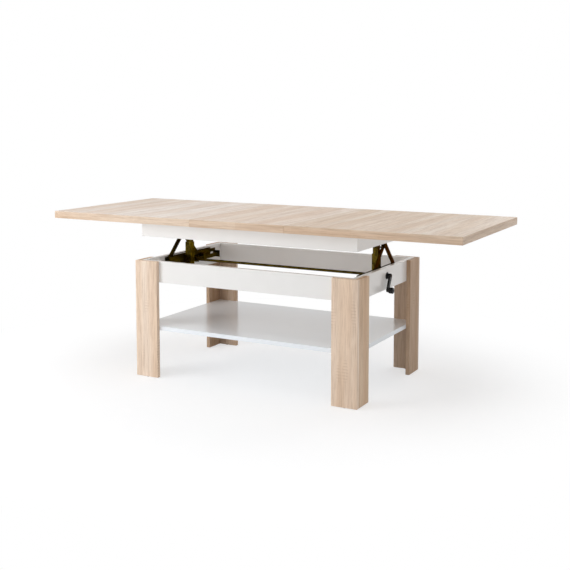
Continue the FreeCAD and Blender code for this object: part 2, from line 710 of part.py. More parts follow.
def crank_arm():
    """Hub on the shaft's end and the arm down to the knob's pin."""
    hub = rod(CRANK_HUB_DIA, (hub_x, 0, 0), X_AXIS, CRANK_HUB_LEN)
    half = CRANK_ARM_WIDTH / 2
    arm_span = (crank_arm_x, crank_arm_x + CRANK_ARM_THICK)
    bar = box(arm_span, (-half, half), (-CRANK_ARM_LEN, 0))
    end = rod(CRANK_ARM_WIDTH, (crank_arm_x, 0, -CRANK_ARM_LEN), X_AXIS, CRANK_ARM_THICK)
    arm = hub.fuse([bar, end]).removeSplitter()
    arm = arm.cut(rod(SHAFT_DIA, (hub_x, 0, 0), X_AXIS, CRANK_HUB_LEN))
    arm = arm.cut(rod(KNOB_PIN_DIA, (crank_arm_x, 0, -CRANK_ARM_LEN), X_AXIS, CRANK_ARM_THICK))
    return arm.rotated(V(0, 0, 0), X_AXIS, -CRANK_TILT_DEG).translated(V(0, 0, shaft_z))


def crank_pin():
    """Pin in the crank arm that the knob turns on, with a head that keeps the knob on."""
    head_x = knob_x + KNOB_LEN + SLIDE_GAP
    pin = rod(KNOB_PIN_DIA, (crank_arm_x, knob_y, knob_z), X_AXIS, head_x - crank_arm_x)
    return pin.fuse(rod(KNOB_PIN_HEAD_DIA, (head_x, knob_y, knob_z), X_AXIS, KNOB_PIN_HEAD))


def crank_knob():
    """Turning knob, slightly thicker at its free end, with a rounded rim."""
    neck, full = KNOB_NECK_DIA / 2, KNOB_DIA / 2
    round_at = KNOB_LEN - KNOB_ROUND
    mid = full - KNOB_ROUND * (1 - math.sin(math.pi / 4))
    mid_at = round_at + KNOB_ROUND * math.sin(math.pi / 4)
    bore = KNOB_PIN_DIA / 2 + RUN_FIT
    edges = [
        Part.LineSegment(V(bore, 0, 0), V(neck, 0, 0)).toShape(),
        Part.LineSegment(V(neck, 0, 0), V(full, 0, round_at)).toShape(),
        Part.Arc(V(full, 0, round_at), V(mid, 0, mid_at), V(full - KNOB_ROUND, 0, KNOB_LEN)).toShape(),
        Part.LineSegment(V(full - KNOB_ROUND, 0, KNOB_LEN), V(bore, 0, KNOB_LEN)).toShape(),
        Part.LineSegment(V(bore, 0, KNOB_LEN), V(bore, 0, 0)).toShape(),
    ]
    knob = Part.Face(Part.Wire(edges)).revolve(V(0, 0, 0), Z_AXIS, 360)
    return knob.rotated(V(0, 0, 0), Y_AXIS, 90).translated(V(knob_x, knob_y, knob_z))


def both_ends(name, shape):
    """The same piece at the right end and, turned half a circle, at the left end."""
    return {name + "_right": shape, name + "_left": turned(shape)}


def build():
    """All nodes by name."""
    nodes = {}
    nodes.update(legs())
    nodes["leg_glides"] = leg_glides()
    nodes.update(frame_rails())
    nodes["shelf"] = shelf()
    nodes["wood_dowels"] = wood_dowels()
    nodes.update(both_ends("base_trough", trough()))
    nodes["trough_screws"] = trough_screws()
    nodes["bearing_bushes"] = bearing_bushes()
    nodes["foot_pivot_pins"] = foot_pivot_pins()
    outer = square_tube(COLUMN_SIZE, COLUMN_WALL, (column_outer_bottom, column_outer_top - COLLAR_HEIGHT))
    nodes.update(both_ends("column_outer", outer))
    nodes["guide_collars"] = guide_collars()
    nodes["crank_bush"] = crank_bush()
    nodes.update(apron_rails())
    nodes["apron_corner_blocks"] = apron_corner_blocks()
    nodes.update(both_ends("lift_bracket", lift_bracket()))
    nodes["bracket_screws"] = bracket_screws()
    inner = square_tube(column_inner_size, COLUMN_WALL, (column_inner_bottom, column_inner_top))
    nodes.update(both_ends("column_inner", inner))
    nodes["guide_bar_front"] = guide_bar(-1)
    nodes["guide_bar_back"] = guide_bar(1)
    for side in ("left", "right"):
        nodes["top_half_" + side] = top_half(side)
        nodes["runners_" + side] = runners(side)
        nodes["runner_screws_" + side] = runner_screws(side)
    nodes["centre_leaf"] = centre_leaf()
    nodes["drive_shaft"] = drive_shaft()
    nodes["shaft_gears"] = shaft_gears()
    nodes["crank_arm"] = crank_arm()
    nodes["crank_pin"] = crank_pin()
    nodes["crank_knob"] = crank_knob()
    nodes.update(both_ends("spindle", spindle()))
    nodes.update(both_ends("spindle_nut", spindle_nut()))
    nodes.update(both_ends("upper_arm", upper_arm()))
    nodes.update(both_ends("lower_arm", lower_arm()))
    return nodes


def main():
    os.makedirs("parts", exist_ok=True)
    nodes = build()
    for name, shape in nodes.items():
        shape.exportStep(os.path.join("parts", name + ".step"))
    solids = sum(len(shape.Solids) for shape in nodes.values())
    print(len(nodes), "nodes,", solids, "solids, arm length", round(arm_len, 2))


main()
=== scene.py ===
"""Looks of an extending coffee table with a crank-driven lift: finishes, fine pieces and a studio stage."""

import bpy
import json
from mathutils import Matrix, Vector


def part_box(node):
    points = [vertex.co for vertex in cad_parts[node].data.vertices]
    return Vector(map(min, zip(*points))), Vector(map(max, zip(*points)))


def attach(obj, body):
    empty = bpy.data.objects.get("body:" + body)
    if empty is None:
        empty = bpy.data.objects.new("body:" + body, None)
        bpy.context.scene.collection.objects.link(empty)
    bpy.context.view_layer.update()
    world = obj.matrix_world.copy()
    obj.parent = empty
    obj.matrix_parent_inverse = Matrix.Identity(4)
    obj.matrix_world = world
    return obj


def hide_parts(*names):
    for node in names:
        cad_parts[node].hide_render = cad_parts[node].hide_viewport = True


bl_info = {
    "name": "Lift Coffee Table",
    "version": (1, 0, 0),
    "blender": (4, 5, 0),
    "location": "View3D > Sidebar > Table",
    "description": "Finishes and fine pieces of an extending coffee table with a crank-driven lift",
    "category": "Object",
}

import json
import math

import bmesh
import bpy
import numpy as np
from mathutils import Vector

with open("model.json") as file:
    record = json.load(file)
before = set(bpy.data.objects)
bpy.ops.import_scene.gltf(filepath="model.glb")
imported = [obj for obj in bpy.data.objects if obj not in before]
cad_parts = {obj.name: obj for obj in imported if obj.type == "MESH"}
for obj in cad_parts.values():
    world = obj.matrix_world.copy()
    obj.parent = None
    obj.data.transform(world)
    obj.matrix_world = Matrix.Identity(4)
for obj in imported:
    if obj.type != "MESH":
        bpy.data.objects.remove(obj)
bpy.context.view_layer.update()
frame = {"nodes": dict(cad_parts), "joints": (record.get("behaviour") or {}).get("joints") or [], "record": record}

MM = 0.001
SIDES = {"right": 1, "left": -1}
OAK_TOP_NODES = ("top_half_left", "centre_leaf", "top_half_right")
LEG_NODES = tuple(sorted(name for name in frame["nodes"] if name.startswith(("leg_face_", "leg_side_"))))


def nodes_in_slot(slot):
    """Names of the solids that the record gives this material slot."""
    return sorted(row["node"] for row in frame["record"]["subparts"] if row["material_slot"] == slot)


# Settings


def tint(red, green, blue):
    """Linear colour from the 0 to 255 values seen on a screen, by the sRGB curve."""
    seen = np.array((red, green, blue)) / 255
    linear = np.where(seen <= 0.04045, seen / 12.92, ((seen + 0.055) / 1.055) ** 2.4)
    return tuple(float(v) for v in linear)


def colour(name, description, default):
    """Colour property for a settings group."""
    return bpy.props.FloatVectorProperty(
        name=name, description=description, subtype="COLOR", size=3, min=0, max=1, default=default
    )


def position(name, description, default):
    """Place property for a settings group, in metres."""
    return bpy.props.FloatVectorProperty(
        name=name, description=description, subtype="XYZ", unit="LENGTH", default=default
    )


def number(name, description, default, **more):
    """Number property for a settings group; more holds its unit, subtype or limits."""
    return bpy.props.FloatProperty(name=name, description=description, default=default, **more)


def length(name, description, default):
    """Length property for a settings group, in metres."""
    return number(name, description, default, unit="LENGTH", min=0, precision=5)


def amount(name, description, default):
    """Share from nothing to full for a settings group."""
    return number(name, description, default, subtype="FACTOR", min=0, max=1)


def rotation(name, description, default):
    """Angle property for a settings group, in radians."""
    return number(name, description, default, subtype="ANGLE")


def power(name, description, default):
    """Power of a light for a settings group, in watts."""
    return number(name, description, default, unit="POWER")


def count(name, description, default, least):
    """Whole number for a settings group."""
    return bpy.props.IntProperty(name=name, description=description, default=default, min=least)


class OakSettings(bpy.types.PropertyGroup):
    """Oak-look laminate of the top and the legs, with painted sheen, light and shade on some boards."""

    pale: colour("Pale wood", "Lightest wood between the grain", tint(243, 231, 218))
    warm: colour("Warm wood", "Usual tone of the wood", tint(228, 206, 184))
    brown: colour("Brown grain", "Dark streaks and pores", tint(176, 145, 117))
    band: colour("Edge band", "Tint that the edge bands lay over the wood", tint(250, 240, 229))
    # Painted shade: darker brown over the back legs' side boards, and in part over their face boards
    painted_shade_back: colour("Back side boards", "Tint laid over the back legs' side boards", tint(182, 144, 94))
    # Painted shade: warmer, darker tint over the front legs' side boards
    painted_shade_front: colour("Front side boards", "Tint laid over the front legs' side boards", tint(251, 227, 196))
    # Painted sheen: lightening of the top's left half
    painted_sheen_left: colour("Left half's lift", "Lightening of the top's left half", (0.1, 0.13, 0.18))
    # Painted sheen: weaker lightening of the centre leaf
    painted_sheen_leaf: colour("Leaf's lift", "Lightening of the centre leaf", (0.06, 0.07, 0.1))
    # Painted light: lightening of the front legs' face boards
    painted_light_front_legs: colour("Leg lift", "Lightening of the front legs' face boards", (0.1, 0.06, 0.02))
    stave: length("Stave width", "Width of the staves printed in the top", 115 * MM)
    saw_marks: length("Saw marks", "Distance between two saw marks across the grain", 11 * MM)
    streaks: amount("Streaks", "Strength of the brown streaks along the grain", 0.24)
    # Painted shade: how strongly the side boards are darkened
    painted_shade_share: amount("Side tint", "Strength of the tint on the legs' side boards", 0.65)
    # Painted shade: share of the back boards' shade tint laid on the back legs' face boards
    painted_shade_back_share: amount("Back tint", "Strength of the side tint on the back legs' face boards", 0.48)
    gloss: amount("Roughness", "Mean roughness of the laminate", 0.56)


class WhiteSettings(bpy.types.PropertyGroup):
    """White melamine of the rails, the apron and the shelf."""

    face: colour("Face", "Colour of the boards' faces", tint(247, 245, 242))
    shade: colour("Mottle", "Slightly greyer tone in the melamine", tint(245, 243, 240))
    gloss: amount("Roughness", "Mean roughness of the melamine", 0.2)
    # Painted cool light: a bluer copy of the white, offsetting the warm light bounced onto the shelf
    shelf: colour("Shelf", "Cooler white of the shelf", tint(247, 251, 255))
    shelf_gloss: amount("Shelf roughness", "Mean roughness of the shelf", 0.2)


class SteelSettings(bpy.types.PropertyGroup):
    """Yellow-passivated steel of the lift."""

    gold: colour("Gold", "Yellow tone of the passivation", tint(104, 88, 27))
    olive: colour("Olive", "Greenish tone of the passivation", tint(56, 46, 15))
    rose: colour("Rose", "Reddish bloom in the passivation", tint(62, 48, 20))
    sheen: colour("Sheen", "Tint of the steel at a grazing look", tint(160, 140, 90))
    film: amount("Oil film", "How far the moving parts are darkened", 0.6)
    gloss: amount("Roughness", "Mean roughness of the sheet", 0.36)


class PlasticSettings(bpy.types.PropertyGroup):
    """Black mouldings: crank, bushes and glides."""

    crank: colour("Crank", "Gloss black of the crank", tint(13, 13, 14))
    nylon: colour("Nylon", "Matt black of bushes and glides", tint(38, 38, 40))


class ScrewSettings(bpy.types.PropertyGroup):
    """Thread and gear teeth of the lifting screws."""

    pitch: length("Pitch", "Distance between two turns of the thread", 3 * MM)
    depth: length("Depth", "Depth of the thread", 1.2 * MM)
    teeth: count("Teeth", "Teeth of the mitre gear", 16, 6)


class CrankSettings(bpy.types.PropertyGroup):
    """Moulded lever and grip of the crank."""

    hub: length("Hub", "Width of the lever at the shaft", 18 * MM)
    lever_width: length("Lever end", "Width of the lever at the grip", 15 * MM)
    lever: length("Lever thickness", "Thickness of the lever", 8 * MM)
    grip_taper: length("Grip taper", "Extra radius at the grip's free end", 1.2 * MM)
    flutes: count("Flutes", "Grooves round the grip", 10, 3)
    flute_depth: length("Flute depth", "Depth of the grip's grooves", 0.9 * MM)


class RivetSettings(bpy.types.PropertyGroup):
    """Rivet heads on the lifting arms."""

    rivet: length("Head", "Diameter of a rivet's head", 12 * MM)
    crown: length("Crown", "Height of a rivet's head", 1.2 * MM)


class StageSettings(bpy.types.PropertyGroup):
    """Camera, lights and floor."""

    eye: position("Camera", "Place of the camera", (1.7829, -3.2454, 1.0242))
    turn: rotation("Turn", "Camera's turn to the left", 0.496)
    dip: rotation("Dip", "Camera's tilt downwards", 0.091)
    lens: number("Lens", "Focal length in millimetres", 60.12, unit="CAMERA")
    rise: number("Rise", "Vertical shift of the lens", -0.149)
    key: power("Key light", "Power of the front left light", 38)
    fill: power("Fill light", "Power of the right light", 3)
    over: power("Top light", "Power of the light overhead", 33)
    behind: power("Back light", "Power of the low back light", 34)
    sky: number("Sky", "Strength of the light from above", 0.4)
    horizon: number("Horizon", "Strength of the light from low down", 0.7)
    floor: colour("Floor", "Colour of the floor", tint(244, 244, 245))
    floor_glow: amount("Floor white", "Share of plain white that the camera sees on the floor", 0.47)


# Node helpers

# A Mix node repeats its names for each kind of data, so its inputs and results go by number
MIX_VECTOR = {"first": 4, "second": 5, "result": 1}
MIX_COLOUR = {"first": 6, "second": 7, "result": 2}

# A face counts as looking along an axis when its normal's share of that axis is over this
FACING = 0.6


def plug(tree, made, inputs):
    """Fills a node's inputs, by name or number: a socket is linked, anything else becomes the value."""
    for key, value in inputs.items():
        if isinstance(value, bpy.types.NodeSocket):
            tree.links.new(value, made.inputs[key])
        else:
            made.inputs[key].default_value = value


def add(tree, kind, inputs=None, **settings):
    """New node: settings are its own properties, inputs its sockets by name or number, as values or links."""
    made = tree.nodes.new(kind)
    for key, value in settings.items():
        setattr(made, key, value)
    plug(tree, made, inputs or {})
    return made


def fresh_tree(owner):
    """Empty node tree of a material or a world."""
    owner.use_nodes = True
    owner.node_tree.nodes.clear()
    return owner.node_tree


def start_material(name):
    """Empty material with a principled shader on its output."""
    material = bpy.data.materials.new(name)
    tree = fresh_tree(material)
    shader = add(tree, "ShaderNodeBsdfPrincipled")
    add(tree, "ShaderNodeOutputMaterial", {"Surface": shader.outputs["BSDF"]})
    return material, tree, shader


def object_point(tree):
    """Point of the surface in the piece's own coordinates."""
    return add(tree, "ShaderNodeTexCoord").outputs["Object"]


def with_alpha(rgb):
    """Colour with full alpha, or a socket as it is."""
    return rgb if isinstance(rgb, bpy.types.NodeSocket) else (*rgb, 1.0)


def mix_colour(tree, factor, first, second, blend="MIX"):
    """Colour between first and second, each a colour or a socket."""
    inputs = {0: factor, MIX_COLOUR["first"]: with_alpha(first), MIX_COLOUR["second"]: with_alpha(second)}
    made = add(tree, "ShaderNodeMix", inputs, data_type="RGBA", blend_type=blend, clamp_factor=True)
    return made.outputs[MIX_COLOUR["result"]]


def mix_vector(tree, factor, first, second):
    """Vector first, or second where the factor is 1."""
    inputs = {0: factor, MIX_VECTOR["first"]: first, MIX_VECTOR["second"]: second}
    made = add(tree, "ShaderNodeMix", inputs, data_type="VECTOR", clamp_factor=True)
    return made.outputs[MIX_VECTOR["result"]]


def math_node(tree, operation, *operands):
    """Number worked out from up to three numbers or sockets."""
    return add(tree, "ShaderNodeMath", dict(enumerate(operands)), operation=operation).outputs[0]


def scaled(tree, value, factor):
    """Number or socket times a factor."""
    return math_node(tree, "MULTIPLY", value, factor)


def spread(tree, value, low, high, to_low=0.0, to_high=1.0):
    """Number carried smoothly from the range low..high to to_low..to_high."""
    inputs = {"Value": value, "From Min": low, "From Max": high, "To Min": to_low, "To Max": to_high}
    return add(tree, "ShaderNodeMapRange", inputs, interpolation_type="SMOOTHSTEP").outputs["Result"]


def stretched(tree, vector, scale, shift=(0, 0, 0)):
    """Coordinates scaled per axis, then moved."""
    made = add(tree, "ShaderNodeMapping", {"Vector": vector, "Scale": scale, "Location": shift})
    return made.outputs["Vector"]


def moved(tree, vector, shift):
    """Coordinates moved, so that a second noise doesn't repeat the first."""
    return stretched(tree, vector, (1, 1, 1), shift)


def noise(tree, vector, scale, detail=2.0, roughness=0.5, distortion=0.0):
    """Fractal noise, 0 to 1 about a half."""
    inputs = {"Vector": vector, "Scale": scale, "Detail": detail, "Roughness": roughness}
    return add(tree, "ShaderNodeTexNoise", {**inputs, "Distortion": distortion}).outputs["Fac"]


def bump(tree, shader, height, strength, distance):
    """Height carried to the shader's normal."""
    made = add(tree, "ShaderNodeBump", {"Height": height, "Strength": strength, "Distance": distance})
    tree.links.new(made.outputs["Normal"], shader.inputs["Normal"])


def separated(tree, vector):
    """The three numbers of a vector, by axis."""
    return add(tree, "ShaderNodeSeparateXYZ", {"Vector": vector}).outputs


def faces_along(tree, normal, axis):
    """1 on faces that look along an axis, 0 on the others."""
    along = math_node(tree, "ABSOLUTE", separated(tree, normal)[axis])
    return math_node(tree, "GREATER_THAN", along, FACING)


# Oak finish

# Squeeze of the print along the fibres, its shift from one board to the next, and the first boards' numbers
GRAIN_STRETCH = 0.045
PATCH_STRETCH = 0.2
SEED_STEP = (0.731, 1.377, 0.913)
TOP_FIRST_SEED = 1
LEG_FIRST_SEED = 5

# Noise scales of the print, per metre
BROAD_SCALE = 17
STREAK_SCALE = 95
STREAK_SHIFT = (2.7, 5.1, 8.3)
FLAME_SCALE = 6
FIBRE_SCALE = 320
PORE_SCALE = 1500
SPOT_SCALE = 30

# Rings of the flame figure over the noise it follows, and over the broad tone
FLAME_RINGS = 11.0
FLAME_DRIFT = 5.0

# Values of a noise between which its layer comes in, and where given the layer's shares at both
BROAD_RANGE = (0.34, 0.66, 0.1, 0.9)
STREAK_RANGE = (0.44, 0.66)
FLAME_RANGE = (0.62, 1.0, 0.0, 0.16)
FIBRE_RANGE = (0.42, 0.72, 0.0, 0.38)
PORE_RANGE = (0.60, 0.72)
RUNG_RANGE = (0.26, 0.48)
SPOT_RANGE = (0.7, 0.78)

# Brown and depth of the pores and the saw marks
PORE_BROWN = 0.28
PORE_DEPTH = 0.7
SAW_BROWN = 0.3
SAW_DEPTH = 0.4

# Staves and edge bands of the top
STAVE_JUMP = 3.0
STAVE_WARMTH = 0.18
BAND_SHARE = 0.9

# Surface of the laminate
OAK_HEIGHTS = (0.2, 1.0)
PORE_ROUGHER = 0.18
FACE_SMOOTHER = 0.05
OAK_SPECULAR = 0.2
OAK_BUMP = (0.35, 0.25 * MM)


def seed_shift(seed):
    """Shift of a board's print, so that no two boards are alike."""
    return tuple(seed * step for step in SEED_STEP)


def oak_pattern(tree, grain, patch, along, settings):
    """Oak print: broad tone, streaks, flame figure, fibres, pores and short saw marks across the grain.

    grain holds the coordinates squeezed along the fibres, patch the same ones squeezed less, along the
    distance along the fibres as a socket. Returns the colour and a height from 0 to 1.
    """
    broad = noise(tree, grain, BROAD_SCALE, roughness=0.55)
    streaks = noise(tree, moved(tree, grain, STREAK_SHIFT), STREAK_SCALE, detail=3.0, roughness=0.6)
    drift = scaled(tree, broad, FLAME_DRIFT)
    rings = math_node(tree, "MULTIPLY_ADD", noise(tree, grain, FLAME_SCALE, detail=1.0), FLAME_RINGS, drift)
    flame = math_node(tree, "PINGPONG", rings, 1.0)
    fibres = noise(tree, grain, FIBRE_SCALE, detail=4.0, roughness=0.6)
    pores = spread(tree, noise(tree, grain, PORE_SCALE), *PORE_RANGE)
    rungs = math_node(tree, "PINGPONG", scaled(tree, along, 1 / settings.saw_marks), 0.5)
    spots = noise(tree, patch, SPOT_SCALE, detail=0.0)
    saw = scaled(tree, spread(tree, rungs, *RUNG_RANGE), spread(tree, spots, *SPOT_RANGE))
    tone = mix_colour(tree, spread(tree, broad, *BROAD_RANGE), settings.pale, settings.warm)
    layers = (
        spread(tree, streaks, *STREAK_RANGE, 0.0, settings.streaks),
        spread(tree, flame, *FLAME_RANGE),
        spread(tree, fibres, *FIBRE_RANGE),
        scaled(tree, pores, PORE_BROWN),
        scaled(tree, saw, SAW_BROWN),
    )
    for layer in layers:
        tone = mix_colour(tree, layer, tone, settings.brown)
    height = math_node(tree, "SUBTRACT", 1.0, scaled(tree, pores, PORE_DEPTH))
    height = math_node(tree, "SUBTRACT", height, scaled(tree, saw, SAW_DEPTH))
    return tone, height


def oak_shader(tree, shader, tone, height, settings):
    """Oak colour and height onto the shader: a matt laminate whose pores are rougher."""
    rough = spread(tree, height, *OAK_HEIGHTS, settings.gloss + PORE_ROUGHER, settings.gloss - FACE_SMOOTHER)
    plug(tree, shader, {"Base Color": tone, "Roughness": rough, "Specular IOR Level": OAK_SPECULAR})
    bump(tree, shader, height, *OAK_BUMP)


def oak_top_material(name, seed, settings, lift):
    """Top board: the grain runs across the depth, in staves, and along X on the long edge bands.

    lift is a painted sheen that lightens the board's faces, or is None.
    """
    material, tree, shader = start_material(name)
    place = add(tree, "ShaderNodeTexCoord")
    point, normal = place.outputs["Object"], place.outputs["Normal"]
    shift = seed_shift(seed)
    parts = separated(tree, point)
    stave = math_node(tree, "MULTIPLY_ADD", parts["X"], 1 / settings.stave, seed)
    stave = math_node(tree, "FLOOR", stave)
    chance = add(tree, "ShaderNodeTexWhiteNoise", {"W": stave}, noise_dimensions="1D").outputs["Value"]
    jump = add(tree, "ShaderNodeCombineXYZ", {"Y": scaled(tree, chance, STAVE_JUMP)}).outputs["Vector"]
    across = stretched(tree, point, (1, GRAIN_STRETCH, 1), shift)
    across = add(tree, "ShaderNodeVectorMath", {0: across, 1: jump}, operation="ADD").outputs["Vector"]
    edgewise = stretched(tree, point, (GRAIN_STRETCH, 1, 1), shift)
    grain = mix_vector(tree, faces_along(tree, normal, "Y"), across, edgewise)
    patch = stretched(tree, point, (1, PATCH_STRETCH, 1), shift)
    tone, height = oak_pattern(tree, grain, patch, parts["Y"], settings)
    warmth = spread(tree, chance, 0.0, 1.0, 0.0, STAVE_WARMTH)
    tone = mix_colour(tree, warmth, tone, settings.warm, "MULTIPLY")
    face = faces_along(tree, normal, "Z")
    # Painted sheen: the lift lightens the faces that look up and down
    if lift is not None:
        tone = mix_colour(tree, face, tone, lift, "DODGE")
    edge = math_node(tree, "SUBTRACT", 1.0, face)
    tone = mix_colour(tree, scaled(tree, edge, BAND_SHARE), tone, settings.band, "MULTIPLY")
    oak_shader(tree, shader, tone, height, settings)
    return material


def oak_leg_material(name, seed, settings):
    """Leg board: upright grain, with painted shade on the side boards and the back legs' face boards, and painted
    light on the front legs' face boards.
    """
    material, tree, shader = start_material(name)
    point = object_point(tree)
    shift = seed_shift(seed)
    grain = stretched(tree, point, (1, 1, GRAIN_STRETCH), shift)
    patch = stretched(tree, point, (1, 1, PATCH_STRETCH), shift)
    tone, height = oak_pattern(tree, grain, patch, separated(tree, point)["Z"], settings)
    front = "front" in name
    if "side" in name:
        # Painted shade: the side boards, which face sideways, are darkened and warmed
        side = settings.painted_shade_front if front else settings.painted_shade_back
        tone = mix_colour(tree, settings.painted_shade_share, tone, side, "MULTIPLY")
    elif front:
        # Painted light on the front legs' face boards
        tone = mix_colour(tree, 1.0, tone, settings.painted_light_front_legs, "DODGE")
    else:
        # Painted shade on the back legs' face boards
        tone = mix_colour(tree, settings.painted_shade_back_share, tone, settings.painted_shade_back, "MULTIPLY")
    oak_shader(tree, shader, tone, height, settings)
    return material


# White finish

MOTTLE_SCALE = 14
MOTTLE_RANGE = (0.2, 0.8)
PEARL_SCALE = 1400
GLOSS_SWING = 0.01
WHITE_SPECULAR = 0.5
WHITE_BUMP = (0.03, 0.02 * MM)


def white_material(name, face, shade, gloss):
    """White melamine: faint mottle, a fine pearl in the surface and slightly uneven gloss."""
    material, tree, shader = start_material(name)
    point = object_point(tree)
    mottle = noise(tree, point, MOTTLE_SCALE, detail=3.0)
    pearl = noise(tree, point, PEARL_SCALE, detail=1.0)
    tone = mix_colour(tree, spread(tree, mottle, *MOTTLE_RANGE), face, shade)
    rough = spread(tree, mottle, *MOTTLE_RANGE, gloss - GLOSS_SWING, gloss + GLOSS_SWING)
    plug(tree, shader, {"Base Color": tone, "Roughness": rough, "Specular IOR Level": WHITE_SPECULAR})
    bump(tree, shader, pearl, *WHITE_BUMP)
    return material


# Beech finish

BEECH_PALE = tint(214, 178, 138)
BEECH_DEEP = tint(190, 148, 106)
BEECH_FLECK = tint(132, 92, 60)
BEECH_STRETCH = (0.08, 1, 1)
BEECH_SCALE = 60
BEECH_RANGE = (0.3, 0.7)
FLECK_SCALE = 900
FLECK_RANGE = (0.62, 0.72)
FLECK_SHARE = 0.6
BEECH_ROUGH = 0.6
BEECH_BUMP = (0.2, 0.15 * MM)


def beech_material():
    """Plain beech of runners, guide bars and blocks: pink-brown with short dark flecks along X."""
    material, tree, shader = start_material("plain_beech")
    grain = stretched(tree, object_point(tree), BEECH_STRETCH)
    cloud = spread(tree, noise(tree, grain, BEECH_SCALE, detail=3.0), *BEECH_RANGE)
    flecks = spread(tree, noise(tree, grain, FLECK_SCALE, detail=1.0), *FLECK_RANGE)
    tone = mix_colour(tree, cloud, BEECH_PALE, BEECH_DEEP)
    tone = mix_colour(tree, scaled(tree, flecks, FLECK_SHARE), tone, BEECH_FLECK)
    plug(tree, shader, {"Base Color": tone, "Roughness": BEECH_ROUGH})
    bump(tree, shader, flecks, *BEECH_BUMP)
    return material


# Metal finishes

DRIFT_SCALE = 38
DRIFT_SWIRL = 1.5
FILM_RANGE = (0.35, 0.65)
BLOOM_SCALE = 70
BLOOM_SHIFT = (3.3, 1.7, 5.9)
BLOOM_RANGE = (0.5, 0.72, 0.0, 0.45)
ROLLING_SCALE = 900
ROLLING_STRETCH = (1, 0.04, 1)
ROLLING_ROUGH = 0.18
STEEL_BUMP = (0.12, 0.05 * MM)
ZINC_PALE = tint(205, 207, 212)
ZINC_DEEP = tint(172, 174, 180)
ZINC_GLOSS = (0.22, 0.34)
SPANGLE_SCALE = 700
SPANGLE_RANGE = (0.0, 0.8)


def passivated_material(name, settings, depth):
    """Yellow-passivated steel: drifting gold, olive and rose tones over fine rolling lines.

    depth darkens the gold towards the olive, for the parts with a heavier, oiled film.
    """
    material, tree, shader = start_material(name)
    point = object_point(tree)
    drift = noise(tree, point, DRIFT_SCALE, detail=3.0, roughness=0.6, distortion=DRIFT_SWIRL)
    bloom = noise(tree, moved(tree, point, BLOOM_SHIFT), BLOOM_SCALE)
    rolling = noise(tree, stretched(tree, point, ROLLING_STRETCH), ROLLING_SCALE)
    film = spread(tree, drift, *FILM_RANGE, 0.0, 1.0 - depth)
    tone = mix_colour(tree, film, settings.olive, settings.gold)
    tone = mix_colour(tree, spread(tree, bloom, *BLOOM_RANGE), tone, settings.rose)
    rough = math_node(tree, "MULTIPLY_ADD", rolling, ROLLING_ROUGH, settings.gloss - ROLLING_ROUGH / 2)
    plug(tree, shader, {"Base Color": tone, "Roughness": rough, "Metallic": 1.0})
    plug(tree, shader, {"Specular Tint": with_alpha(settings.sheen)})
    bump(tree, shader, rolling, *STEEL_BUMP)
    return material


def zinc_material():
    """Bright zinc plating of the screws, with a faint spangle."""
    material, tree, shader = start_material("bright_zinc")
    inputs = {"Vector": object_point(tree), "Scale": SPANGLE_SCALE}
    spangle = add(tree, "ShaderNodeTexVoronoi", inputs).outputs["Distance"]
    tone = mix_colour(tree, spread(tree, spangle, *SPANGLE_RANGE), ZINC_PALE, ZINC_DEEP)
    rough = spread(tree, spangle, *SPANGLE_RANGE, *ZINC_GLOSS)
    plug(tree, shader, {"Base Color": tone, "Roughness": rough, "Metallic": 1.0})
    return material


# Plastic finishes

CLOUD_SCALE = 90
CLOUD_RANGE = (0.35, 0.7)
CLOUD_GLOSS_RANGE = (0.3, 0.7)
CLOUD_GAIN = 1.8
CLOUD_LIFT = 0.004
BLACK_SPECULAR = 0.22
BLACK_BUMP = 0.2

# Least and most roughness, and the scale and height of the moulded grain
CRANK_GLOSS = (0.16, 0.3)
CRANK_GRAIN = (500, 0.04 * MM)
NYLON_GLOSS = (0.5, 0.62)
NYLON_GRAIN = (1600, 0.08 * MM)


def black_material(name, rgb, gloss, grain):
    """Black moulding: spark-eroded grain whose gloss varies a little."""
    material, tree, shader = start_material(name)
    point = object_point(tree)
    scale, height = grain
    cloud = noise(tree, point, CLOUD_SCALE)
    lifted = tuple(min(1.0, v * CLOUD_GAIN + CLOUD_LIFT) for v in rgb)
    tone = mix_colour(tree, spread(tree, cloud, *CLOUD_RANGE), rgb, lifted)
    rough = spread(tree, cloud, *CLOUD_GLOSS_RANGE, *gloss)
    plug(tree, shader, {"Base Color": tone, "Roughness": rough, "Specular IOR Level": BLACK_SPECULAR})
    bump(tree, shader, noise(tree, point, scale), BLACK_BUMP, height)
    return material


def dress(names, material):
    """Gives each of these solids the material."""
    for name in names:
        data = frame["nodes"][name].data
        data.materials.clear()
        data.materials.append(material)


# Surfaces

# Points closer than this are one, and edges shorter than this go
MERGE_GAP = 0.002 * MM
LEAST_EDGE = 0.001 * MM


def grid_faces(rows, columns):
    """Quads of a grid of points that closes round its columns."""
    r = np.arange(rows - 1)[:, None] * columns
    c = np.arange(columns)[None, :]
    n = (c + 1) % columns
    return np.stack([r + c, r + n, r + columns + n, r + columns + c], -1).reshape(-1, 4)


def lathe(radius, along, origin, axis):
    """Surface of turning: radius, one row a station and one column an angle, about an axis from an origin.

    Point = origin + axis * along + (side * cos(angle) + up * sin(angle)) * radius.
    """
    axis = np.asarray(axis, float)
    side = np.array((0.0, 0.0, 1.0))
    up = np.cross(axis, side)
    angle = np.linspace(0, 2 * np.pi, radius.shape[1], endpoint=False)
    ring = np.cos(angle)[:, None] * side + np.sin(angle)[:, None] * up
    points = np.asarray(origin) + along[:, None, None] * axis + radius[:, :, None] * ring[None]
    return points.reshape(-1, 3), grid_faces(*radius.shape)


def round_profile(pairs, columns):
    """Radii and stations for lathe from the (station, radius) pairs of a plain turned profile."""
    pairs = np.asarray(pairs, float)
    return np.repeat(pairs[:, 1:2], columns, axis=1), pairs[:, 0]


